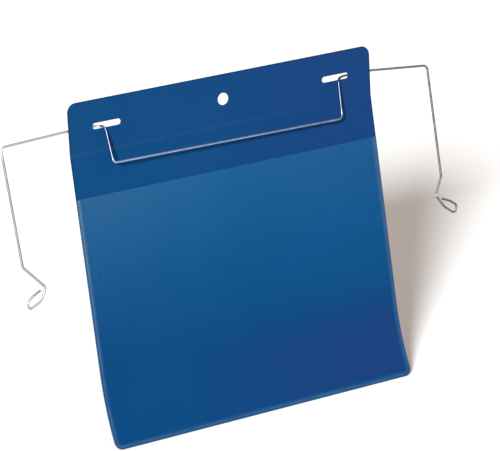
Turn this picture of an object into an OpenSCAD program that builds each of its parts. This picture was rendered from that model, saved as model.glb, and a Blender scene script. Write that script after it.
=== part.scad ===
// Document pocket for A5 sheets, landscape, with a bent wire hanger.
// Millimetres, +Z up, the front faces -Y. The origin is the centre of the
// hanging hole on the front face of the header, and the header is upright.
// A flexible blue panel is drawn in the shape it takes when it stands on its
// lower edge: straight header, slight bend, straight back, curl at the foot.
// The hanger is one length of wire. Its two eyes are drawn as nodes of their
// own, joined to it face to face.

/* [Pocket] */
// Width over the two side edges
pocket_w = 223; // [219:1:235]
// Length of the blue panel along the sheet, top edge to bottom edge
panel_len = 218; // [214:1:230]
// Length of the clear film along the sheet, measured from the bottom edge
film_len = 158; // [154:1:164]
// Thickness of the blue panel
panel_t = 0.4; // [0.3:0.05:0.4]
// Thickness of the clear film
film_t = 0.25; // [0.15:0.05:0.4]
// Free space between panel and film, where the paper goes
paper_gap = 1.2; // [0.8:0.1:1.6]
// Width of the welded seams at the sides and the bottom
weld_w = 4; // [3:0.5:5]
// Radius of the four corners
corner_r = 6; // [3:0.5:9]

/* [Header] */
// Thickness of the lining welded behind the header
lining_t = 0.3; // [0.2:0.05:0.3]
// Length of the lining, from the top edge down past the weld line
lining_len = 36; // [35:1:40]
// Weld line that joins header, lining and back panel, from the top edge
line_drop = 31.7; // [30:0.1:32.5]
// Width of that weld line
line_w = 2; // [1.5:0.1:2.5]
// Diameter of the hanging hole
hole_d = 7.8; // [6:0.1:9]
// Hole centre below the top edge
hole_drop = 16; // [13:0.5:18]
// Length of the two wire slots
slot_len = 20; // [18:0.5:24]
// Height of the two wire slots
slot_h = 4.4; // [4.4:0.1:5]
// Distance between the centres of the two slots
slot_pitch = 169; // [166:1:171]
// Slot centres below the hole centre
slot_drop = 1; // [0.8:0.1:1.2]

/* [Posture] */
// Lean of the back below the header, foot towards the front, in degrees
back_lean = 8.5; // [7:0.5:10]
// Lean of the sheet at its lower edge, in degrees
foot_lean = 27; // [20:1:32]
// Length of the curl at the foot, along the sheet
curl_len = 49; // [40:1:60]

/* [Wire] */
// Wire diameter
wire_d = 1.5; // [1.3:0.1:1.5]
// Half the span between the outer ends of the hanger, over the wire axes
arm_x = 157.4; // [150:0.1:165]
// Half the width of the bow in front of the header
bow_x = 84.5; // [82:0.1:86]
// Bow below the swing axis
bow_drop = 23; // [20:0.25:26]
// Bow in front of the front face of the header
bow_front = 9.5; // [8:0.1:10.5]
// Outer ends of the lateral runs below the swing axis
arm_dip = 2.9; // [2:0.1:4]
// Kink of the side arms below the swing axis
arm_drop = 75; // [65:1:80]
// Arms forward of the swing axis at the kink
arm_front = 14; // [12:0.5:16]

/* [Hidden] */
$fn = 48;

// ---- the sheet's side view: s runs along the sheet from the top edge ----
z_top = hole_drop;
deg = 180 / PI;
// the sheet bends along the weld line under the header
bend_len = line_w;
s0 = line_drop;
s1 = line_drop + line_w;
s2 = panel_len - curl_len;
s3 = panel_len;
r1 = bend_len / (back_lean / deg);
r2 = curl_len / ((foot_lean - back_lean) / deg);
// end of the bend and end of the straight back
y1 = -r1 * (1 - cos(back_lean));
z1 = z_top - s0 - r1 * sin(back_lean);
y2 = y1 - (s2 - s1) * sin(back_lean);
z2 = z1 - (s2 - s1) * cos(back_lean);

function lean(s) =
    s <= s0 ? 0 :
    s <= s1 ? back_lean * (s - s0) / bend_len :
    s <= s2 ? back_lean :
    back_lean + (foot_lean - back_lean) * (s - s2) / curl_len;

function front_face(s) =
    s <= s0 ? [0, z_top - s] :
    s <= s1 ? [-r1 * (1 - cos(lean(s))), z_top - s0 - r1 * sin(lean(s))] :
    s <= s2 ? [y1 - (s - s1) * sin(back_lean), z1 - (s - s1) * cos(back_lean)] :
    [y2 - r2 * (cos(back_lean) - cos(lean(s))), z2 - r2 * (sin(lean(s)) - sin(back_lean))];

// a point at distance d in front of the panel's front face
function at(s, d) = front_face(s) + d * [-cos(lean(s)), sin(lean(s))];

// stations along the sheet between two lengths
bend_n = 2;
curl_n = 9;
function stations(a, b) = concat([a],
    [for (i = [0:bend_n]) let (s = s0 + bend_len * i / bend_n) if (s > a + 0.01 && s < b - 0.01) s],
    [for (i = [0:curl_n]) let (s = s2 + (curl_len - weld_w) * i / curl_n) if (s > a + 0.01 && s < b - 0.01) s],
    [b]);

// a layer of the sheet from length a to b, from depth d0 to d1 in front of
// the panel's front face, between x = xa and x = xb
module layer(a, b, d0, d1, xa, xb) {
    st = stations(a, b);
    n = len(st) - 1;
    translate([xa, 0, 0]) rotate([90, 0, 90])
        linear_extrude(height = xb - xa)
            polygon(concat([for (s = st) at(s, d0)], [for (i = [n:-1:0]) at(st[i], d1)]));
}

// the outline seen from the front, with its round corners
z_bot = front_face(s3)[1] - panel_t;
module outline() {
    translate([0, 8, 0]) rotate([90, 0, 0]) linear_extrude(height = 80) {
        translate([-pocket_w / 2 + corner_r, z_bot]) square([pocket_w - 2 * corner_r, z_top - z_bot]);
        translate([-pocket_w / 2, z_bot + corner_r]) square([pocket_w, z_top - z_bot - 2 * corner_r]);
        for (x = [-1, 1]) {
            translate([x * (pocket_w / 2 - corner_r), z_top - corner_r]) circle(r = corner_r);
            translate([x * (pocket_w / 2 - corner_r), z_bot + corner_r]) circle(r = corner_r);
        }
    }
}

// holes through the header: one round hole and two slots
module header_holes() {
    translate([0, 4, 0]) rotate([90, 0, 0]) cylinder(d = hole_d, h = 8);
    for (x = [-1, 1]) translate([x * slot_pitch / 2, 4, -slot_drop]) rotate([90, 0, 0])
        linear_extrude(height = 8) {
            translate([-(slot_len - slot_h) / 2, -slot_h / 2]) square([slot_len - slot_h, slot_h]);
            for (e = [-1, 1]) translate([e * (slot_len - slot_h) / 2, 0]) circle(d = slot_h);
        }
}

film_s = panel_len - film_len;
half_w = pocket_w / 2;

module header_panel() color([0.09, 0.30, 0.52]) difference() {
    intersection() {
        layer(0, s0, -panel_t, 0, -half_w, half_w);
        outline();
    }
    header_holes();
}

module header_weld() color([0.20, 0.42, 0.64])
    layer(s0, s1, -panel_t, 0, -half_w, half_w);

module back_panel() color([0.09, 0.30, 0.52]) intersection() {
    layer(s1, panel_len, -panel_t, 0, -half_w, half_w);
    outline();
}

module header_lining() color([0.07, 0.24, 0.44]) difference() {
    intersection() {
        layer(0, lining_len, -panel_t - lining_t, -panel_t, -half_w, half_w);
        outline();
    }
    header_holes();
}

module front_film() color([0.45, 0.62, 0.80, 0.5]) intersection() {
    layer(film_s, panel_len, paper_gap, paper_gap + film_t, -half_w, half_w);
    outline();
}

module left_weld() color([0.25, 0.45, 0.68]) intersection() {
    layer(film_s, panel_len, 0, paper_gap, -half_w, -half_w + weld_w);
    outline();
}

module right_weld() color([0.25, 0.45, 0.68]) intersection() {
    layer(film_s, panel_len, 0, paper_gap, half_w - weld_w, half_w);
    outline();
}

module bottom_weld() color([0.25, 0.45, 0.68]) intersection() {
    layer(panel_len - weld_w, panel_len, 0, paper_gap, -half_w + weld_w, half_w - weld_w);
    outline();
}

// ---- the wire: straight rods and round bends along one line of points ----
wire_r = wire_d / 2;
// swing axis: behind the header, a little under the middle of the slots
axis_y = panel_t + lining_t + wire_r + 0.2;
axis_z = -slot_drop - 0.3;
// the eye at the end of an arm, a loop like a drop: where it starts, which
// way it points, which way it turns
eye = [arm_x - 11.8, axis_y - arm_front - 8.15, axis_z - arm_drop - 11.2];
eye_dir = [0.70, -0.14, -0.70];
eye_side = [0.70, -0.10, 0.71];

// points of one half, from the middle of the bow outwards, with bend radii
half_points = [
    [0, -bow_front, axis_z - bow_drop],
    [bow_x, -bow_front, axis_z - bow_drop],
    [bow_x + 1.8, -0.85, axis_z - 0.4],
    [bow_x + 7.1, axis_y, axis_z],
    [half_w + 2, axis_y, axis_z],
    [arm_x, axis_y + 0.3, axis_z - arm_dip],
    [arm_x - 1.6, axis_y - arm_front, axis_z - arm_drop],
    eye,
    eye + 9.6 * eye_dir - 1.3 * eye_side,
    eye + 18 * eye_dir,
    eye + 16.5 * eye_dir + 4.4 * eye_side,
    eye + 10.6 * eye_dir + 4.2 * eye_side,
    eye + 4.3 * eye_dir + 1.7 * eye_side];
half_radii = [0, 3.5, 3.5, 6, 20, 3, 4, 2, 8, 1.8, 2.2, 6, 0];

function unit(v) = v / norm(v);
// half of the turn at point i, and the length it takes off each side
function half_turn(p, i) = acos(max(-1, min(1, unit(p[i] - p[i - 1]) * unit(p[i + 1] - p[i])))) / 2;
function cut(p, r, i) = r[i] * tan(half_turn(p, i));
// start and end of the straight rod from point i to point i + 1: each rod
// runs a little way into its bends, which are a hair thicker, so that the
// wire is one solid
lap = 0.1;
swell = 0.01;
function rod_a(p, r, i) = p[i] + unit(p[i + 1] - p[i]) * (cut(p, r, i) - lap);
function rod_b(p, r, i) = p[i + 1] - unit(p[i + 1] - p[i]) * (i + 2 < len(p) ? cut(p, r, i + 1) - lap : 0);

module rod(a, b) {
    w = unit(b - a);
    u = unit(cross(w, abs(w[0]) < 0.8 ? [1, 0, 0] : [0, 0, 1]));
    v = cross(w, u);
    multmatrix([[u[0], v[0], w[0], a[0]], [u[1], v[1], w[1], a[1]], [u[2], v[2], w[2], a[2]], [0, 0, 0, 1]])
        cylinder(r = wire_r, h = norm(b - a));
}

module bend(p, r, i) {
    a = unit(p[i] - p[i - 1]);
    b = unit(p[i + 1] - p[i]);
    t = half_turn(p, i);
    n = unit(cross(a, b));
    start = p[i] - a * cut(p, r, i);
    u = unit(cross(a, n));
    c = start - u * r[i];
    multmatrix([[u[0], a[0], n[0], c[0]], [u[1], a[1], n[1], c[1]], [u[2], a[2], n[2], c[2]], [0, 0, 0, 1]])
        rotate_extrude(angle = 2 * t) translate([r[i], 0]) circle(r = wire_r + swell);
}

// the arm's end piece starts half-way between the kink and the eye
kink = 6;
eye_start = (rod_a(half_points, half_radii, kink) + rod_b(half_points, half_radii, kink)) / 2;

module half_wire() {
    for (i = [1:kink - 1]) rod(rod_a(half_points, half_radii, i), rod_b(half_points, half_radii, i));
    for (i = [1:kink]) bend(half_points, half_radii, i);
    rod(rod_a(half_points, half_radii, kink), eye_start);
}

module half_eye() {
    last = len(half_points) - 1;
    rod(eye_start, rod_b(half_points, half_radii, kink));
    for (i = [kink + 1:last - 1]) rod(rod_a(half_points, half_radii, i), rod_b(half_points, half_radii, i));
    for (i = [kink + 1:last - 1]) bend(half_points, half_radii, i);
}

module wire_hanger() color([0.70, 0.71, 0.74]) {
    bow = rod_b(half_points, half_radii, 0);
    rod([-bow[0], bow[1], bow[2]], bow);
    half_wire();
    mirror([1, 0, 0]) half_wire();
}

module right_eye() color([0.70, 0.71, 0.74]) half_eye();

module left_eye() color([0.70, 0.71, 0.74]) mirror([1, 0, 0]) half_eye();

header_panel();
header_lining();
header_weld();
back_panel();
front_film();
left_weld();
right_weld();
bottom_weld();
wire_hanger();
left_eye();
right_eye();
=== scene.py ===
import math
import bpy
import bmesh
from mathutils import Matrix, Vector
from mathutils.geometry import delaunay_2d_cdt


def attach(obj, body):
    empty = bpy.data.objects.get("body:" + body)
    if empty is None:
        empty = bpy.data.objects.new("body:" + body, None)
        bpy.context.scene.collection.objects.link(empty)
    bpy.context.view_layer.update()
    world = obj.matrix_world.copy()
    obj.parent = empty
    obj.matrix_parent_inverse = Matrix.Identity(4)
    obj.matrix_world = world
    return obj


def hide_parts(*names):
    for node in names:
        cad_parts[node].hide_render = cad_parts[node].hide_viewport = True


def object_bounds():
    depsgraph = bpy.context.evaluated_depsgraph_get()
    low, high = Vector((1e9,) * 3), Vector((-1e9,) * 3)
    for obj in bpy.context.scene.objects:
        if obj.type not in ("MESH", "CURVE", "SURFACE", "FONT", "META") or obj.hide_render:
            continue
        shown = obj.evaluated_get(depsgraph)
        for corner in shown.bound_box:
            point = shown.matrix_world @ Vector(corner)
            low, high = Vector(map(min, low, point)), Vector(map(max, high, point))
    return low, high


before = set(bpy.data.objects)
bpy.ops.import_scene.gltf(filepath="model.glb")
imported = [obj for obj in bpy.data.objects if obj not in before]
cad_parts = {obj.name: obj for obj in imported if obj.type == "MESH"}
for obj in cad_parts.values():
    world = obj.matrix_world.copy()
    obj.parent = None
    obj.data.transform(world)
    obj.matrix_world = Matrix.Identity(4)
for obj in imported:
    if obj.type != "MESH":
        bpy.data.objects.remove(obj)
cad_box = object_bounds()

MM = 0.001

# ---------------------------------------------------------------- the sheet
# side view of the sheet in millimetres, as the CAD model has it: s runs along
# the sheet from the top edge, d is the height in front of its front face
HALF_W, LENGTH, TOP = 111.5, 218.0, 16.0
PANEL_T, LINING_T, FILM_T = 0.4, 0.3, 0.25
LINE, LINE_W = 31.7, 2.0
LINING_END, FILM_S = 36.0, 60.0
BACK, FOOT, CURL = math.radians(8.5), math.radians(27.0), 49.0
S1, S2 = LINE + LINE_W, LENGTH - CURL
R1, R2 = LINE_W / BACK, CURL / (FOOT - BACK)
Y1, Z1 = -R1 * (1 - math.cos(BACK)), TOP - LINE - R1 * math.sin(BACK)
Y2, Z2 = Y1 - (S2 - S1) * math.sin(BACK), Z1 - (S2 - S1) * math.cos(BACK)


def lean(s):
    if s <= LINE:
        return 0.0
    if s <= S1:
        return BACK * (s - LINE) / LINE_W
    if s <= S2:
        return BACK
    return BACK + (FOOT - BACK) * (s - S2) / CURL


def face(s):
    a = lean(s)
    if s <= LINE:
        return 0.0, TOP - s
    if s <= S1:
        return -R1 * (1 - math.cos(a)), TOP - LINE - R1 * math.sin(a)
    if s <= S2:
        return Y1 - (s - S1) * math.sin(BACK), Z1 - (s - S1) * math.cos(BACK)
    return Y2 - R2 * (math.cos(BACK) - math.cos(a)), Z2 - R2 * (math.sin(a) - math.sin(BACK))


def at(x, s, d):
    y, z = face(s)
    a = lean(s)
    return Vector((x, y - d * math.cos(a), z + d * math.sin(a))) * MM


def smooth(t):
    t = max(0.0, min(1.0, t))
    return t * t * (3 - 2 * t)


def spaced(a, b, step):
    n = max(1, round((b - a) / step))
    return [a + (b - a) * i / n for i in range(n + 1)]


# ---------------------------------------------------------------- mesh tools
def make(name, verts, faces, body, smooth_angle=35):
    mesh = bpy.data.meshes.new(name)
    mesh.from_pydata(verts, [], faces)
    bm = bmesh.new()
    bm.from_mesh(mesh)
    bmesh.ops.recalc_face_normals(bm, faces=bm.faces)
    bm.to_mesh(mesh)
    bm.free()
    mesh.polygons.foreach_set("use_smooth", [True] * len(mesh.polygons))
    mesh.set_sharp_from_angle(angle=math.radians(smooth_angle))
    mesh.update()
    obj = bpy.data.objects.new(name, mesh)
    bpy.context.scene.collection.objects.link(obj)
    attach(obj, body)
    return obj


def area2(loop):
    return sum(a[0] * b[1] - b[0] * a[1] for a, b in zip(loop, loop[1:] + loop[:1]))


def inside(p, loop):
    hit = False
    for (x0, y0), (x1, y1) in zip(loop, loop[1:] + loop[:1]):
        if (y0 > p[1]) != (y1 > p[1]) and p[0] < (x1 - x0) * (p[1] - y0) / (y1 - y0) + x0:
            hit = not hit
    return hit


def inset(loop, b):
    """The loop moved by b to its left, which is where the material is."""
    out = []
    n = len(loop)
    for i in range(n):
        p, q, r = Vector(loop[i - 1]), Vector(loop[i]), Vector(loop[(i + 1) % n])
        u, v = (q - p).normalized(), (r - q).normalized()
        m = Vector((-u.y, u.x)) + Vector((-v.y, v.x))
        m = m / max(0.3, m.length_squared / 2)
        out.append((q.x + m.x * b, q.y + m.y * b))
    return out


def sheet(name, outline, holes, grid, front, back, body, bevel=0.07, clear=0.4):
    """A closed thin sheet over a flat outline with holes, in (x, s): front and
    back give the height d of its two faces. Its rims are bevelled."""
    loops = []
    for i, loop in enumerate([outline] + holes):
        if (area2(loop) > 0) != (i == 0):
            loop = loop[::-1]
        loops.append(loop)
    inner = [inset(loop, bevel) for loop in loops]
    flat, edges, rings = [], [], []
    for loop in inner:
        k = len(flat)
        flat += loop
        rings.append(list(range(k, k + len(loop))))
        edges += [(k + i, k + (i + 1) % len(loop)) for i in range(len(loop))]
    for p in grid:
        if inside(p, inner[0]) and not any(inside(p, h) for h in inner[1:]):
            if all((p[0] - q[0]) ** 2 + (p[1] - q[1]) ** 2 > clear * clear for loop in inner for q in loop):
                flat.append(p)
    pts, _, tris, orig, _, _ = delaunay_2d_cdt([Vector(p) for p in flat], edges, [], 0, 1e-5)
    back_id = {}
    for i, o in enumerate(orig):
        for k in o:
            back_id[k] = i
    keep = []
    for t in tris:
        c = (sum(pts[i].x for i in t) / 3, sum(pts[i].y for i in t) / 3)
        if inside(c, inner[0]) and not any(inside(c, h) for h in inner[1:]):
            keep.append(t)
    n = len(pts)
    verts = [at(p.x, p.y, front(p.x, p.y)) for p in pts] + [at(p.x, p.y, back(p.x, p.y)) for p in pts]
    faces = [tuple(t) for t in keep] + [tuple(i + n for i in reversed(t)) for t in keep]
    for loop, ring in zip(loops, rings):
        k = len(verts)
        m = len(loop)
        for x, s in loop:
            verts.append(at(x, s, front(x, s) - bevel))
        for x, s in loop:
            verts.append(at(x, s, back(x, s) + bevel))
        for i in range(m):
            j = (i + 1) % m
            a, b = back_id[ring[i]], back_id[ring[j]]
            faces += [(a, b, k + j, k + i), (k + i, k + j, k + m + j, k + m + i), (k + m + i, k + m + j, n + b, n + a)]
    return make(name, verts, faces, body)


def corner(cx, cs, rx, rs, a0, a1, n=14):
    return [(cx + rx * math.cos(a0 + (a1 - a0) * i / n), cs + rs * math.sin(a0 + (a1 - a0) * i / n)) for i in range(n + 1)]


def outline(half_w, sa, sb, r_top, r_bot, step=3.0):
    """Outline from s = sa down to sb with round corners, in (x, s)."""
    rs = r_bot * 1.1
    p = []
    q = math.pi / 2
    p += corner(half_w - r_top, sa + r_top, r_top, r_top, -q, 0) if r_top else [(half_w, sa)]
    p += [(half_w, s) for s in spaced(sa + r_top, sb - rs, step)[1:-1]]
    p += corner(half_w - r_bot, sb - rs, r_bot, rs, 0, q) if r_bot else [(half_w, sb)]
    p += [(x, sb) for x in reversed(spaced(-half_w + r_bot, half_w - r_bot, step)[1:-1])]
    p += corner(-half_w + r_bot, sb - rs, r_bot, rs, q, 2 * q) if r_bot else [(-half_w, sb)]
    p += [(-half_w, s) for s in reversed(spaced(sa + r_top, sb - rs, step)[1:-1])]
    p += corner(-half_w + r_top, sa + r_top, r_top, r_top, 2 * q, 3 * q) if r_top else [(-half_w, sa)]
    p += [(x, sa) for x in spaced(-half_w + r_top, half_w - r_top, step)[1:-1]]
    return p


def hole_loops(grow=0.0):
    """The hanging hole and the two wire slots of the header, in (x, s). The
    slots are half a millimetre lower than the CAD ones, as on the photo."""
    out = []
    r = 3.9 + grow
    out.append([(r * math.cos(t), TOP + r * math.sin(t)) for t in (2 * math.pi * i / 56 for i in range(56))])
    r = 1.925 + grow
    q = math.pi / 2
    for side in (-1, 1):
        c, h, s = side * 84.5, 8.075, TOP + 0.875
        loop = corner(c + h, s, r, r, -q, q, 18) + [(x, s + r) for x in (c + 4, c, c - 4)]
        loop += corner(c - h, s, r, r, q, 3 * q, 18) + [(x, s - r) for x in (c - 4, c, c + 4)]
        out.append(loop)
    return out


# ---------------------------------------------------------------- materials
def lin(r, g, b):
    f = lambda c: c / 255 / 12.92 if c <= 10 else ((c / 255 + 0.055) / 1.055) ** 2.4
    return f(r), f(g), f(b), 1.0


class Nodes:
    def __init__(self, name):
        self.mat = bpy.data.materials.new(name)
        self.mat.use_nodes = True
        self.tree = self.mat.node_tree
        self.tree.nodes.clear()
        self.out = self.tree.nodes.new("ShaderNodeOutputMaterial")

    def add(self, kind, **inputs):
        props = inputs.pop("props", {})
        n = self.tree.nodes.new(kind)
        for k, v in props.items():
            setattr(n, k, v)
        for k, v in inputs.items():
            self.set(n, k.replace("_", " ") if isinstance(k, str) else k, v)
        return n

    def set(self, n, key, v):
        socket = n.inputs[key]
        if isinstance(v, bpy.types.NodeSocket):
            self.tree.links.new(v, socket)
        else:
            socket.default_value = v

    def link(self, a, b):
        self.tree.links.new(a, b)

    def math(self, op, a, b=None, c=None, clamp=False):
        n = self.tree.nodes.new("ShaderNodeMath")
        n.operation, n.use_clamp = op, clamp
        for i, v in enumerate((a, b, c)):
            if v is not None:
                self.set(n, i, v)
        return n.outputs[0]

    def object_point(self):
        return self.tree.nodes.new("ShaderNodeTexCoord").outputs["Object"]

    def noise(self, vector, scale, detail=2.0, rough=0.5):
        n = self.add("ShaderNodeTexNoise", Scale=scale, Detail=detail, Roughness=rough)
        self.link(vector, n.inputs["Vector"])
        return n.outputs["Fac"]

    def ramp(self, fac, stops):
        n = self.tree.nodes.new("ShaderNodeValToRGB")
        self.link(fac, n.inputs["Fac"])
        e = n.color_ramp.elements
        while len(e) > len(stops):
            e.remove(e[-1])
        while len(e) < len(stops):
            e.new(1.0)
        for el, (pos, col) in zip(e, stops):
            el.position, el.color = pos, col
        return n.outputs["Color"]

    def mix(self, fac, a, b):
        n = self.tree.nodes.new("ShaderNodeMix")
        n.data_type = "RGBA"
        self.set(n, 0, fac)
        self.set(n, 6, a)
        self.set(n, 7, b)
        return n.outputs[2]

    def range(self, v, a, b, c, d, smooth=False):
        n = self.tree.nodes.new("ShaderNodeMapRange")
        n.interpolation_type = "SMOOTHSTEP" if smooth else "LINEAR"
        self.set(n, "Value", v)
        for k, x in (("From Min", a), ("From Max", b), ("To Min", c), ("To Max", d)):
            self.set(n, k, x)
        return n.outputs["Result"]

    def bump(self, height, strength, distance, normal=None):
        n = self.add("ShaderNodeBump", Strength=strength, Distance=distance)
        self.link(height, n.inputs["Height"])
        if normal is not None:
            self.link(normal, n.inputs["Normal"])
        return n.outputs["Normal"]


def sheet_blue(name, dark, light, violet, rough=(0.42, 0.55), specular=0.07):
    """Satin plastic sheet: fine grain, faint rolling marks, tone that differs at random. Painted shade turns the upper
    part and the foot more violet towards the right and darkens the foot's right end; the side and top rims are darker.
    """
    m = Nodes(name)
    p = m.object_point()
    sep = m.add("ShaderNodeSeparateXYZ")
    m.link(p, sep.inputs[0])
    grain = m.noise(p, 2600.0, 3.0, 0.6)
    cloud = m.noise(p, 22.0, 3.0, 0.55)
    stretch = m.add("ShaderNodeMapping")
    m.link(p, stretch.inputs["Vector"])
    stretch.inputs["Scale"].default_value = (6.0, 6.0, 900.0)
    rolling = m.noise(stretch.outputs[0], 1.0, 2.0, 0.5)
    tone = m.math("ADD", m.math("MULTIPLY", cloud, 0.75), m.math("MULTIPLY", rolling, 0.25))
    base = m.mix(m.range(tone, 0.35, 0.65, 0.0, 1.0, True), dark, light)
    # painted shade: the upper part and the foot turn more violet towards the right, away from the light
    across = m.range(sep.outputs[0], -0.08, 0.115, 0.0, 1.0, True)
    violet_shade_rows = m.math("MAXIMUM", m.range(sep.outputs[2], -0.100, -0.050, 0.0, 1.0, True), m.range(sep.outputs[2], -0.168, -0.130, 1.0, 0.0, True))
    base = m.mix(m.math("MULTIPLY", across, violet_shade_rows), base, violet)
    # painted shade: the foot is darker and more violet towards its right end
    foot = m.range(sep.outputs[2], -0.172, -0.145, 0.75, 0.0, True)
    base = m.mix(m.math("MULTIPLY", across, foot), base, (0.007, 0.0257, 0.0939, 1))
    # darker along the side and top rims
    side = m.range(m.math("ABSOLUTE", sep.outputs[0]), 0.1100, 0.1113, 0.0, 0.5, True)
    head = m.range(sep.outputs[2], 0.0147, 0.0159, 0.0, 0.5, True)
    base = m.mix(m.math("MAXIMUM", side, head), base, (0.0007, 0.0089, 0.0322, 1))
    fleck = m.range(grain, 0.30, 0.72, 0.94, 1.06)
    hsv = m.add("ShaderNodeHueSaturation")
    m.link(base, hsv.inputs["Color"])
    m.link(fleck, hsv.inputs["Value"])
    bsdf = m.add("ShaderNodeBsdfPrincipled")
    m.link(hsv.outputs[0], bsdf.inputs["Base Color"])
    m.link(m.range(m.math("ADD", m.math("MULTIPLY", cloud, 0.5), m.math("MULTIPLY", grain, 0.5)), 0.3, 0.7, rough[0], rough[1]), bsdf.inputs["Roughness"])
    bsdf.inputs["Specular IOR Level"].default_value = specular
    n = m.bump(grain, 0.22, 0.00004)
    n = m.bump(rolling, 0.12, 0.00003, n)
    m.link(n, bsdf.inputs["Normal"])
    m.link(bsdf.outputs[0], m.out.inputs["Surface"])
    return m.mat


def seam_blue(name, ground, rib, edge, lo, hi, worn, groove_shade=None):
    """Welded plastic: a knurled band, pale on its ribs and, if groove is given,
    dark between them with painted shade, on the blue of the sheet. ground, rib
    and groove each give a direction, its two ends and the colours there.
    Reads the point attribute 'seam': along, across, relief."""
    m = Nodes(name)
    a = m.add("ShaderNodeAttribute", props={"attribute_name": "seam"})
    sep = m.add("ShaderNodeSeparateXYZ")
    m.link(a.outputs["Vector"], sep.inputs[0])
    p = m.object_point()
    grain = m.noise(p, 2200.0, 3.0, 0.6)
    blotch = m.noise(p, 150.0, 3.0, 0.6)

    def drift(way, start, end, first, last):
        dot = m.add("ShaderNodeVectorMath", props={"operation": "DOT_PRODUCT"})
        m.link(p, dot.inputs[0])
        dot.inputs[1].default_value = way
        return m.mix(m.range(dot.outputs["Value"], start, end, 0.0, 1.0, True), first, last)

    band = m.math("MULTIPLY", m.range(sep.outputs[1], lo - 0.2, lo + 0.2, 0.0, 1.0, True), m.range(sep.outputs[1], hi - 0.5, hi + 0.3, 1.0, 0.0, True))
    top = m.range(sep.outputs[2], 0.15, 0.8, 0.06, 1.0, True)
    kept = m.math("MULTIPLY", band, m.range(blotch, 0.36, 0.62, worn, 1.0))
    colour = drift(*ground)
    if groove_shade:
        # painted shade in the grooves between the ribs
        low = m.range(sep.outputs[2], 0.15, 0.7, 1.0, 0.0, True)
        colour = m.mix(m.math("MULTIPLY", kept, low), colour, drift(*groove_shade))
    colour = m.mix(m.math("MULTIPLY", kept, top), colour, drift(*rib))
    if edge:
        colour = m.mix(m.range(sep.outputs[1], 0.12, 0.5, 1.0, 0.0, True), colour, edge)
    bsdf = m.add("ShaderNodeBsdfPrincipled")
    m.link(colour, bsdf.inputs["Base Color"])
    m.link(m.range(m.math("ADD", m.math("MULTIPLY", grain, 0.6), m.math("MULTIPLY", blotch, 0.4)), 0.3, 0.7, 0.36, 0.54), bsdf.inputs["Roughness"])
    bsdf.inputs["Specular IOR Level"].default_value = 0.1
    m.link(m.bump(grain, 0.18, 0.00004), bsdf.inputs["Normal"])
    m.link(bsdf.outputs[0], m.out.inputs["Surface"])
    return m.mat


def clear_film(name):
    """Clear film: see-through, with a milky layer that is partly the film's own and partly a painted
    reflection of the light: strongest at the open mouth, where the film stands off the panel, and on the left, and
    fading towards the foot."""
    m = Nodes(name)
    p = m.object_point()
    sep = m.add("ShaderNodeSeparateXYZ")
    m.link(p, sep.inputs[0])
    soft = m.noise(p, 14.0, 2.0, 0.5)
    streak_map = m.add("ShaderNodeMapping")
    m.link(p, streak_map.inputs["Vector"])
    streak_map.inputs["Scale"].default_value = (420.0, 30.0, 14.0)
    streak = m.noise(streak_map.outputs[0], 1.0, 2.0, 0.5)
    fine = m.noise(p, 1500.0, 2.0, 0.5)
    # painted reflection: the milky layer grows from the foot up to the mouth and is stronger on the left, towards the
    # light
    down = m.range(sep.outputs[2], -0.1476, -0.0437, 0.0, 1.0)
    left = m.range(sep.outputs[0], -0.110, 0.020, 1.0, 0.0, True)
    haze_and_reflection = m.math("MULTIPLY", m.math("POWER", down, 1.05), m.range(left, 0.0, 1.0, 0.98, 1.10))
    haze_and_reflection = m.math("MULTIPLY", haze_and_reflection, m.range(soft, 0.3, 0.7, 0.94, 1.06))
    haze_and_reflection = m.math("ADD", m.math("MULTIPLY", haze_and_reflection, 0.084), m.range(streak, 0.3, 0.7, 0.001, 0.003))
    milk_and_reflection = m.add("ShaderNodeBsdfPrincipled")
    # its colour is paler towards the mouth, with the painted reflection
    pale = m.mix(left, (0.0322, 0.2163, 0.4068, 1), (0.0715, 0.2253, 0.3978, 1))
    deep = m.mix(left, (0.0107, 0.2217, 0.4559, 1), (0.0375, 0.2128, 0.447, 1))
    m.link(m.mix(m.range(down, 0.45, 1.0, 0.0, 1.0), deep, pale), milk_and_reflection.inputs["Base Color"])
    m.link(m.range(fine, 0.3, 0.7, 0.30, 0.40), milk_and_reflection.inputs["Roughness"])
    milk_and_reflection.inputs["Specular IOR Level"].default_value = 0.1
    clear = m.add("ShaderNodeBsdfTransparent")
    clear.inputs["Color"].default_value = (0.935, 0.975, 0.988, 1.0)
    body = m.tree.nodes.new("ShaderNodeMixShader")
    m.link(haze_and_reflection, body.inputs[0])
    m.link(clear.outputs[0], body.inputs[1])
    m.link(milk_and_reflection.outputs[0], body.inputs[2])
    gloss = m.add("ShaderNodeBsdfGlossy")
    gloss.inputs["Color"].default_value = (0.9, 0.95, 1.0, 1.0)
    m.link(m.range(streak, 0.3, 0.7, 0.20, 0.27), gloss.inputs["Roughness"])
    n = m.bump(streak, 0.05, 0.00003)
    m.link(n, gloss.inputs["Normal"])
    facing = m.add("ShaderNodeLayerWeight", Blend=0.5).outputs["Facing"]
    shine = m.range(m.math("POWER", facing, 5.0), 0.05, 1.0, 0.0, 0.6)
    both = m.tree.nodes.new("ShaderNodeMixShader")
    m.link(shine, both.inputs[0])
    m.link(body.outputs[0], both.inputs[1])
    m.link(gloss.outputs[0], both.inputs[2])
    m.link(both.outputs[0], m.out.inputs["Surface"])
    return m.mat


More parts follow.
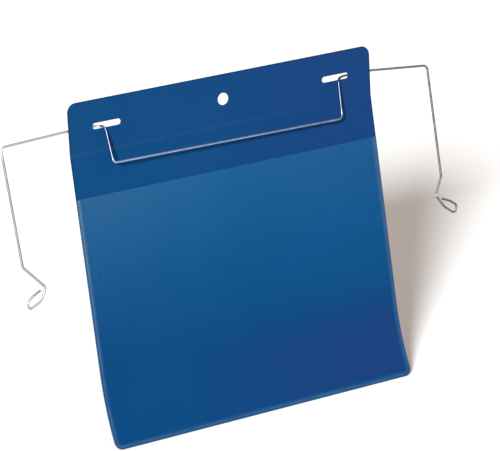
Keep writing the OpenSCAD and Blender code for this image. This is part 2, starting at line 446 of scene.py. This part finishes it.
def zinc(name):
    """Zinc plated drawn wire: fine lines along it, grey bloom, rougher arms. Painted light: the bow is
    bright with a blue painted reflection of the sheet and darker on the right, the legs are in painted shade, the arms,
    runs and eyes are lighter on the left and in painted shade on the right, and the right kink has a painted highlight.
    Reads the point attribute 'wire': along, and around as cosine and sine."""
    m = Nodes(name)
    a = m.add("ShaderNodeAttribute", props={"attribute_name": "wire"})
    p = m.object_point()
    lines = m.add("ShaderNodeMapping")
    m.link(a.outputs["Vector"], lines.inputs["Vector"])
    lines.inputs["Scale"].default_value = (0.06, 7.0, 7.0)
    drawn = m.noise(lines.outputs[0], 1.0, 3.0, 0.6)
    bloom = m.noise(p, 240.0, 4.0, 0.6)
    speck = m.noise(p, 1800.0, 2.0, 0.5)
    sep = m.add("ShaderNodeSeparateXYZ")
    m.link(p, sep.inputs[0])
    out = m.math("ABSOLUTE", sep.outputs[0])
    # painted light on the bow: a blue painted reflection of the sheet, lighter on the left and darker on the right;
    # grey bloom spots on top
    bow_painted_light = m.mix(m.range(sep.outputs[0], -0.08, 0.08, 0.0, 1.0), (0.405, 0.54, 0.828, 1), (0.189, 0.279, 0.495, 1))
    bow_painted_light = m.mix(m.range(bloom, 0.38, 0.66, 0.0, 0.4, True), bow_painted_light, (0.504, 0.594, 0.792, 1))
    # painted shade on the legs, darker than the bow
    legs = m.mix(m.range(sep.outputs[0], -0.08, 0.08, 0.0, 1.0), (0.082, 0.088, 0.145, 1), (0.070, 0.083, 0.138, 1))
    bow_painted_light = m.mix(m.math("MULTIPLY", m.range(out, 0.0805, 0.0830, 0.0, 1.0, True), m.range(sep.outputs[2], -0.0225, -0.0195, 0.0, 1.0, True)), bow_painted_light, legs)
    # painted light on the arms, the runs behind the header and the eyes: lighter on the left, painted shade on the
    # right
    arms_painted_light = m.mix(m.range(sep.outputs[0], -0.10, 0.10, 0.0, 1.0), lin(132, 131, 131), lin(80, 79, 78))
    runs = m.mix(m.range(sep.outputs[0], -0.10, 0.10, 0.0, 1.0), lin(203, 199, 197), lin(126, 125, 124))
    arms_painted_light = m.mix(m.range(sep.outputs[2], -0.012, -0.004, 0.0, 1.0, True), arms_painted_light, runs)
    eyes = m.mix(m.range(sep.outputs[0], -0.10, 0.10, 0.0, 1.0), lin(188, 187, 186), lin(115, 112, 110))
    arms_painted_light = m.mix(m.range(sep.outputs[2], -0.0905, -0.0875, 1.0, 0.0, True), arms_painted_light, eyes)
    # painted highlight on the right kink
    kink_painted_highlight = m.math("MULTIPLY", m.range(sep.outputs[2], -0.0880, -0.0860, 0.0, 1.0, True), m.range(sep.outputs[2], -0.0785, -0.0765, 1.0, 0.0, True))
    arms_painted_light = m.mix(m.math("MULTIPLY", kink_painted_highlight, m.range(sep.outputs[0], 0.10, 0.14, 0.0, 1.0)), arms_painted_light, lin(182, 175, 171))
    arms_painted_light = m.mix(m.range(bloom, 0.36, 0.66, 0.0, 0.3, True), arms_painted_light, lin(168, 167, 167))
    arm = m.range(out, 0.0885, 0.0905, 0.0, 1.0, True)
    colour = m.mix(arm, bow_painted_light, arms_painted_light)
    colour = m.mix(m.range(drawn, 0.40, 0.75, 0.0, 0.35), colour, lin(96, 94, 100))
    bsdf = m.add("ShaderNodeBsdfPrincipled")
    bsdf.inputs["Metallic"].default_value = 1.0
    m.link(colour, bsdf.inputs["Base Color"])
    rough = m.range(m.math("ADD", m.math("MULTIPLY", bloom, 0.6), m.math("MULTIPLY", speck, 0.4)), 0.3, 0.7, 0.26, 0.44)
    m.link(m.math("ADD", rough, m.math("MULTIPLY", arm, 0.22)), bsdf.inputs["Roughness"])
    n = m.bump(drawn, 0.25, 0.00003)
    n = m.bump(speck, 0.10, 0.00002, n)
    m.link(n, bsdf.inputs["Normal"])
    m.link(bsdf.outputs[0], m.out.inputs["Surface"])
    return m.mat


# the third colour of each sheet is its painted shade on the right
BLUE = sheet_blue("blue_sheet_satin", (0.0004, 0.032, 0.0988, 1), (0.0009, 0.0345, 0.1046, 1), (0.003, 0.0257, 0.0948, 1))
BLUE_REAR = sheet_blue("blue_lining_satin", (0.0004, 0.0302, 0.093, 1), (0.0009, 0.0325, 0.0992, 1), (0.0029, 0.0244, 0.0894, 1), (0.46, 0.58))
# painted light: the seam's ground and ribs are lighter towards the top and the left, where the light falls
SEAM = seam_blue(
    "seam_welded",
    ((0.0, 0.0, 1.0), -0.150, -0.044, (0.0009, 0.034, 0.1019, 1), (0.0118, 0.0531, 0.1162, 1)),
    ((-0.6, 0.0, 1.0), -0.150, 0.023, (0.0393, 0.0733, 0.1359, 1), (0.0742, 0.1475, 0.2307, 1)),
    (0.0313, 0.0581, 0.1046, 1), 0.35, 2.4, 0.55)
# painted shade: the weld line's ground turns violet towards the right like the sheet; its pale ribs and the painted
# shade in its grooves fade out towards the right
LINE_MAT = seam_blue(
    "header_weld_knurl",
    ((1.0, 0.0, 0.0), -0.080, 0.115, (0.0007, 0.0334, 0.1019, 1), (0.003, 0.0261, 0.0953, 1)),
    ((1.0, 0.0, 0.0), -0.040, 0.095, (0.0122, 0.0525, 0.1380, 1), (0.0034, 0.0280, 0.0985, 1)),
    None, 0.1, 1.9, 0.25,
    ((1.0, 0.0, 0.0), -0.040, 0.095, (0.0002, 0.0100, 0.0380, 1), (0.0022, 0.0215, 0.0820, 1)))
FILM = clear_film("film_clear")
ZINC = zinc("zinc_wire_drawn")


def finish_piece(obj, mat, slot, *nodes):
    obj.data.materials.clear()
    obj.data.materials.append(mat)
    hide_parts(*nodes)


# ---------------------------------------------------------------- the pocket
mid = LINE + LINE_W / 2
grid = [(x, s) for x in spaced(-108, 108, 6) for s in spaced(3, mid - 2, 4)]
header = sheet("header_sheet", outline(HALF_W, 0, mid, 6, 0), hole_loops(), grid, lambda x, s: 0.0, lambda x, s: -PANEL_T, "pocket")
finish_piece(header, BLUE, "blue_sheet", "header_panel")

rows = spaced(0, LINE - 0.2, 4)[1:] + spaced(LINE, S1, 0.5) + [34.6, 35.4]
grid = [(x, s) for x in spaced(-108, 108, 6) for s in rows]
lining = sheet("header_lining_sheet", outline(HALF_W - 0.3, 0.3, LINING_END, 6, 0, 2.0), hole_loops(0.25), grid, lambda x, s: -PANEL_T - 0.004, lambda x, s: -PANEL_T - LINING_T, "pocket", 0.05, 0.25)
finish_piece(lining, BLUE_REAR, "blue_sheet", "header_lining")

rows = spaced(S1, S2, 5)[1:] + spaced(S2, LENGTH, 2.4)[1:-1]
grid = [(x, s) for x in spaced(-108, 108, 6) for s in rows]
panel = sheet("back_sheet", outline(HALF_W, mid, LENGTH, 0, 5, 2.4), [], grid, lambda x, s: 0.0, lambda x, s: -PANEL_T, "pocket")
finish_piece(panel, BLUE, "blue_sheet", "back_panel")


def knurl(along, across, lo, hi, pitch, slant):
    """Height 0..1 of the diagonal ribs that the welding bar leaves."""
    if across <= lo or across >= hi:
        return 0.0
    t = (along + slant * (across - lo)) / pitch
    rib = 0.5 + 0.5 * math.cos(2 * math.pi * t)
    edge = min(1.0, (across - lo) / 0.3, (hi - across) / 0.3)
    return smooth(rib) * edge


def strip(name, frames, across, height, floor, body):
    """A closed strip: frames gives (along, point(e)) for each station, across
    the distances e from the edge, height the relief over the sheet."""
    verts, data, faces = [], [], []
    n, m = len(frames), len(across)
    for along, point in frames:
        for e in across:
            x, s = point(e)
            d, k = height(along, e)
            verts.append(at(x, s, d))
            data.append((along, e, k))
    for along, point in frames:
        for e in across:
            x, s = point(e)
            verts.append(at(x, s, floor))
            data.append((along, e, 0.0))
    o = n * m
    for i in range(n - 1):
        for j in range(m - 1):
            a, b, c, d = i * m + j, i * m + j + 1, (i + 1) * m + j + 1, (i + 1) * m + j
            faces += [(a, b, c, d), (o + d, o + c, o + b, o + a)]
        for j in (0, m - 1):
            a, b = i * m + j, (i + 1) * m + j
            faces.append((a, b, o + b, o + a))
    for i in (0, n - 1):
        for j in range(m - 1):
            a, b = i * m + j, i * m + j + 1
            faces.append((a, b, o + b, o + a))
    obj = make(name, verts, faces, body, 50)
    attr = obj.data.attributes.new("seam", "FLOAT_VECTOR", "POINT")
    attr.data.foreach_set("vector", [c for v in data for c in v])
    return obj


# the weld line under the header, across the whole width
def line_height(along, e):
    k = knurl(along, e, 0.1, LINE_W - 0.1, 2.2, 0.5)
    return 0.012 + 0.075 * k * smooth(min(e, LINE_W - e) / 0.3), k


frames = [(x, lambda e, x=x: (x, LINE + e)) for x in spaced(-HALF_W + 0.03, HALF_W - 0.03, 0.4)]
line = strip("header_weld_line", frames, spaced(0, LINE_W, 0.2), line_height, -PANEL_T - 0.002, "pocket")
finish_piece(line, LINE_MAT, "blue_sheet", "header_weld")

# the seam runs down the left edge, along the bottom and up the right edge
R_C, R_S = 5.0, 5.5


def edge_path(step):
    """(along, x, s, inward x, inward s) from the film's upper left corner
    round to its upper right corner."""
    out = []
    for s in spaced(FILM_S, LENGTH - R_S, step):
        out.append((-HALF_W, s, 1.0, 0.0))
    n = 22
    for i in range(1, n + 1):
        a = math.pi - math.pi / 2 * i / n
        c, q = math.cos(a), math.sin(a)
        nx, ns = -c / R_C, -q / R_S
        k = math.hypot(nx, ns)
        out.append((-HALF_W + R_C + R_C * c, LENGTH - R_S + R_S * q, nx / k, ns / k))
    for x in spaced(-HALF_W + R_C, HALF_W - R_C, step)[1:]:
        out.append((x, LENGTH, 0.0, -1.0))
    left = [p for p in out if p[0] < -HALF_W + R_C]
    for x, s, nx, ns in reversed(left):
        out.append((-x, s, -nx, ns))
    path, along = [], 0.0
    for i, p in enumerate(out):
        if i:
            along += math.hypot(p[0] - out[i - 1][0], p[1] - out[i - 1][1])
        path.append((along,) + p)
    return path


SEAM_IN = 3.9


def seam_height(along, e):
    k = knurl(along, e, 0.8, 2.6, 2.0, 0.9)
    d = 0.27 * smooth((e - 0.02) / 0.12 + 0.35)
    d -= 0.05 * smooth((e - 0.7) / 0.2) * smooth((2.8 - e) / 0.2)
    d += 0.13 * k
    d += 0.10 * math.exp(-(((e - 3.3) / 0.35) ** 2))
    return d, k


path = edge_path(0.4)
across = [0.06, 0.12, 0.2, 0.35, 0.55, 0.7, 0.85, 1.0, 1.2, 1.45, 1.7, 1.95, 2.2, 2.45, 2.65, 2.8, 2.95, 3.1, 3.25, 3.4, 3.55, 3.7, SEAM_IN]
mids = [i for i, p in enumerate(path) if abs(p[1]) < HALF_W - R_C * 0.29 and p[2] > LENGTH - R_S * 0.30]
i0, i1 = mids[0], mids[-1]
for name, node, a, b in (("left_seam", "left_weld", 0, i0), ("bottom_seam", "bottom_weld", i0, i1), ("right_seam", "right_weld", i1, len(path) - 1)):
    frames = [(p[0], lambda e, p=p: (p[1] + e * p[3], p[2] + e * p[4])) for p in path[a : b + 1]]
    seam = strip(name, frames, across, seam_height, -0.05, "pocket")
    finish_piece(seam, SEAM, "blue_sheet", node)


# the film: fused at the seams, standing off the panel towards the open mouth
def rise(x, s):
    e = min(HALF_W - abs(x), LENGTH - s) - 3.2
    e = max(0.0, e)
    open_top = smooth(1 - (s - FILM_S) / 110)
    full = 0.42 + 0.55 * open_top + 0.12 * math.sin(x * 0.021 + 0.6) * open_top
    return 0.02 + full * (1 - math.exp(-e / 7.0))


ex = [3.5, 3.9, 4.4, 5.0, 5.8, 6.8, 8.0, 9.5, 11.5, 14, 17, 21, 26, 32]
xs = [-HALF_W + e for e in ex] + spaced(-HALF_W + 38, HALF_W - 38, 5.5) + [HALF_W - e for e in reversed(ex)]
ss = spaced(FILM_S + 0.6, S2, 4.5) + [s for s in spaced(S2, LENGTH - 34, 2.4)[1:]] + [LENGTH - e for e in reversed(ex[:-1])]
grid = [(x, s) for x in xs for s in ss]
film_out = outline(HALF_W - 3.3, FILM_S, LENGTH - 3.3, 0, 1.7, 1.5)
film = sheet("front_film_window", film_out, [], grid, lambda x, s: rise(x, s) + FILM_T, rise, "pocket", 0.05, 0.2)
finish_piece(film, FILM, "clear_film", "front_film")

# ---------------------------------------------------------------- the wire
# One length of wire, bent by hand: the two halves follow the CAD wire and
# differ from it, and from each other, by a millimetre or two outside the slots.
WIRE_R = 0.75
SHARED = [(86.3, -0.85, -1.7), (91.6, 1.65, -1.3), (113.5, 1.65, -1.3)]
RIGHT = [(82.9, -9.0, -25.7)] + SHARED + [(157.4, 1.5, -5.5), (155.8, -12.6, -77.1), (145.6, -20.2, -86.6), (151.3, -21.6, -95.1), (158.5, -23.4, -100.7), (160.1, -22.8, -95.0), (155.5, -22.1, -91.8), (149.8, -21.3, -89.4)]
LEFT = [(86.9, -10.0, -23.1)] + SHARED + [(157.4, 2.3, -3.1), (155.8, -12.2, -75.7), (145.6, -20.7, -88.2), (150.0, -22.7, -95.5), (158.7, -22.5, -99.6), (160.0, -23.0, -94.7), (155.6, -22.5, -91.5), (149.6, -21.4, -89.3)]
RADII = [3.5, 3.5, 6.0, 20.0, 3.0, 4.0, 2.0, 8.0, 1.8, 2.4, 6.0, 0.0]


def wire_line():
    left = [(Vector((-x, y, z)), r) for (x, y, z), r in zip(LEFT, [2.4] + RADII[1:])]
    pts = list(reversed(left)) + [(Vector(p), r) for p, r in zip(RIGHT, RADII)]
    line = [pts[0][0]]
    for i in range(1, len(pts) - 1):
        p, r = pts[i]
        a = (pts[i - 1][0] - p).normalized()
        b = (pts[i + 1][0] - p).normalized()
        turn = math.pi - a.angle(b)
        cut = r * math.tan(turn / 2)
        c = p + (a + b).normalized() * math.hypot(r, cut)
        u, v = (p + a * cut - c) / r, -a
        start = p + a * cut
        run = (start - line[-1]).length
        for k in range(1, max(1, round(run / 3.0))):
            line.append(line[-1].lerp(start, 1.0 / (max(1, round(run / 3.0)) - k + 1)))
        n = max(3, math.ceil(math.degrees(turn) / 7))
        for k in range(n + 1):
            t = turn * k / n
            line.append(c + r * (math.cos(t) * u + math.sin(t) * v))
    end = pts[-1][0]
    run = (end - line[-1]).length
    first = line[-1]
    for k in range(1, max(2, round(run / 3.0)) + 1):
        line.append(first.lerp(end, k / max(2, round(run / 3.0))))
    return line


def tube(name, line, r, body, ring=20):
    """A round wire along a line, with slightly crushed cut ends."""
    t = [((line[min(i + 1, len(line) - 1)] - line[max(i - 1, 0)])).normalized() for i in range(len(line))]
    u = t[0].orthogonal().normalized()
    verts, data, faces = [], [], []
    along = 0.0
    stations = []
    for i, p in enumerate(line):
        if i:
            along += (p - line[i - 1]).length
            u = (u - t[i] * u.dot(t[i])).normalized()
        stations.append((p, t[i], u.copy(), r, along))
    p, d, w, _, al = stations[0]
    first = [(p, d, w, r * 0.80, al), (p + d * 0.12, d, w, r * 0.97, al + 0.12)]
    p, d, w, _, al = stations[-1]
    last = [(p - d * 0.12, d, w, r * 0.97, al - 0.12), (p, d, w, r * 0.80, al)]
    for p, d, w, rr, al in first + stations[1:-1] + last:
        v = d.cross(w)
        for k in range(ring):
            a = 2 * math.pi * k / ring
            verts.append((p + rr * (math.cos(a) * w + math.sin(a) * v)) * MM)
            data.append((al, math.cos(a), math.sin(a)))
    n = len(verts) // ring
    for i in range(n - 1):
        for k in range(ring):
            a, b = i * ring + k, i * ring + (k + 1) % ring
            faces.append((a, b, b + ring, a + ring))
    for i, base in ((0, 0), (-1, (n - 1) * ring)):
        p, d = (first[0][0], first[0][1]) if i == 0 else (last[-1][0], last[-1][1])
        verts.append((p + d * (-0.05 if i == 0 else 0.05)) * MM)
        data.append((0.0, 0.0, 0.0))
        c = len(verts) - 1
        faces += [(base + k, base + (k + 1) % ring, c) for k in range(ring)]
    obj = make(name, verts, faces, body, 40)
    attr = obj.data.attributes.new("wire", "FLOAT_VECTOR", "POINT")
    attr.data.foreach_set("vector", [c for v in data for c in v])
    return obj


wire = tube("hanger_wire", wire_line(), WIRE_R, "hanger")
finish_piece(wire, ZINC, "zinc_wire", "wire_hanger", "left_eye", "right_eye")

# ---------------------------------------------------------------- the stage
FLOOR_Z = cad_box[0].z - 0.0002
m = Nodes("floor_pale")
p = m.object_point()
tint = m.mix(m.range(m.noise(p, 3.0, 2.0), 0.3, 0.7, 0.0, 1.0), (0.925, 0.888, 0.868, 1), (0.935, 0.896, 0.876, 1))
bsdf = m.add("ShaderNodeBsdfPrincipled", Roughness=0.9)
bsdf.inputs["Specular IOR Level"].default_value = 0.0
m.link(tint, bsdf.inputs["Base Color"])
m.link(bsdf.outputs[0], m.out.inputs["Surface"])
verts, faces = [Vector((0, 0, FLOOR_Z))], []
radii = [0.3, 0.8, 1.6, 3.0, 5.0, 8.0]
for r in radii:
    verts += [Vector((r * math.cos(2 * math.pi * k / 64), r * math.sin(2 * math.pi * k / 64), FLOOR_Z)) for k in range(64)]
for k in range(64):
    j = (k + 1) % 64
    faces.append((0, 1 + k, 1 + j))
    for i in range(len(radii) - 1):
        a = 1 + i * 64
        faces.append((a + k, a + 64 + k, a + 64 + j, a + j))
mesh = bpy.data.meshes.new("floor")
mesh.from_pydata(verts, [], faces)
floor = bpy.data.objects.new("floor", mesh)
floor.data.materials.append(m.mat)
bpy.context.scene.collection.objects.link(floor)

world = bpy.data.worlds.new("studio")
bpy.context.scene.world = world
world.use_nodes = True
world.node_tree.nodes["Background"].inputs[0].default_value = (1.0, 0.903, 0.839, 1)
world.node_tree.nodes["Background"].inputs[1].default_value = 0.483

# one soft key from the front left, 22 degrees up; the sky is the fill
key = bpy.data.lights.new("key", "SUN")
key.energy, key.angle, key.color = 7.1, 0.172, (0.855, 0.945, 1.0)
sun = bpy.data.objects.new("key", key)
sun.rotation_euler = Vector((0.646, 0.680, -0.382)).to_track_quat("-Z", "Y").to_euler()
bpy.context.scene.collection.objects.link(sun)

# ---------------------------------------------------------------- the camera
F, ELEV, YAW, ROLL, TX, TY, DIST = 3350.0, 0.2823, -0.5558, -0.0507, 16.83, -79.19, 2096.1273
fw = Vector((-math.sin(YAW) * math.cos(ELEV), math.cos(YAW) * math.cos(ELEV), -math.sin(ELEV)))
right = Vector((math.cos(YAW), math.sin(YAW), 0))
up = right.cross(fw)
c, s = math.cos(ROLL), math.sin(ROLL)
right, up = c * right + s * up, -s * right + c * up
cam = bpy.data.cameras.new("photo_camera")
cam.sensor_width, cam.lens = 36.0, F * 36.0 / 500.0
cam.clip_start, cam.clip_end = 0.05, 60.0
camera = bpy.data.objects.new("photo_camera", cam)
pos = (TX * right + TY * up - DIST * fw) * MM
camera.matrix_world = Matrix(((right.x, up.x, -fw.x, pos.x), (right.y, up.y, -fw.y, pos.y), (right.z, up.z, -fw.z, pos.z), (0, 0, 0, 1)))
bpy.context.scene.collection.objects.link(camera)
bpy.context.scene.camera = camera
bpy.context.scene.view_settings.view_transform = "Standard"
